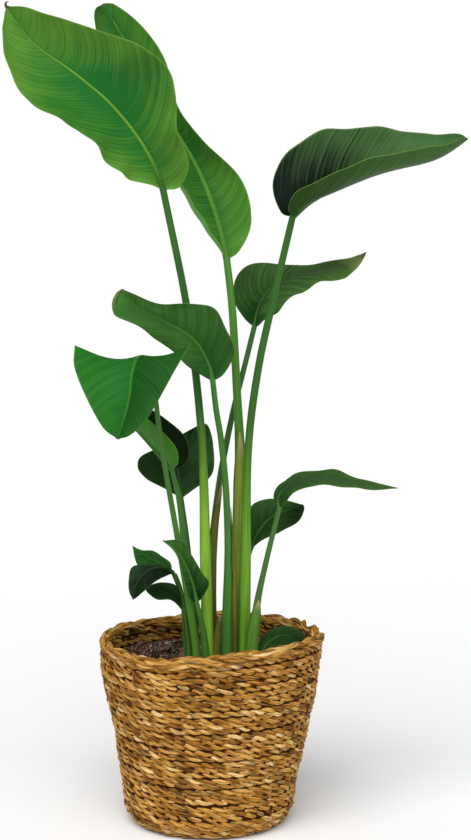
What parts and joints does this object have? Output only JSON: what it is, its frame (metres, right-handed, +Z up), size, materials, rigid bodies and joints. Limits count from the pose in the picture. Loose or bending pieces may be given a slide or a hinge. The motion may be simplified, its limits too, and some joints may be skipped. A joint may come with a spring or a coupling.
{
  "type": "potted bird of paradise plant",
  "caption": "Bird of paradise house plant with broad paddle-shaped leaves on tall stalks, growing in a nursery pot inside a lined, woven seagrass basket",
  "frame": {"origin": "centre of the basket's flat underside, on the floor it stands on", "axes": "+Z is up, along the plant's height; +X runs to the plant's right, towards the tip of the top right leaf; +Y runs away from its front"},
  "size_m": [0.5681, 0.305, 1.0326],
  "materials": {
    "seagrass": "matt, dried, twisted seagrass in golden and orange brown",
    "liner_film": "thin, crinkled, shiny dark film",
    "pot_plastic": "satin black moulded plastic",
    "soil": "dark, moist potting mix",
    "leaf": "satin, mid to dark green, with fine side veins and a pale margin",
    "stalk": "satin green, yellower near the soil, with brown sheath edges"
  },
  "bodies": {
    "root": {"basket": "seagrass", "plastic_liner": "liner_film", "nursery_pot": "pot_plastic", "potting_soil": "soil", "top_left_blade": "leaf", "top_left_stalk": "stalk", "top_centre_blade": "leaf", "top_centre_stalk": "stalk", "top_right_blade": "leaf", "top_right_stalk": "stalk", "mid_right_blade": "leaf", "mid_right_stalk": "stalk", "mid_left_blade": "leaf", "mid_left_stalk": "stalk", "drooping_left_blade": "leaf", "drooping_left_stalk": "stalk", "low_left_front_blade": "leaf", "low_left_front_stalk": "stalk", "low_left_back_blade": "leaf", "low_left_back_stalk": "stalk", "low_right_blade": "leaf", "low_right_stalk": "stalk", "low_right_back_blade": "leaf", "low_right_back_stalk": "stalk", "base_left_upper_blade": "leaf", "base_left_upper_stalk": "stalk", "base_left_middle_blade": "leaf", "base_left_middle_stalk": "stalk", "base_left_lower_blade": "leaf", "base_left_lower_stalk": "stalk", "base_front_blade": "leaf", "base_front_stalk": "stalk", "in_basket_blade": "leaf", "in_basket_stalk": "stalk"}
  },
  "joints": []
}
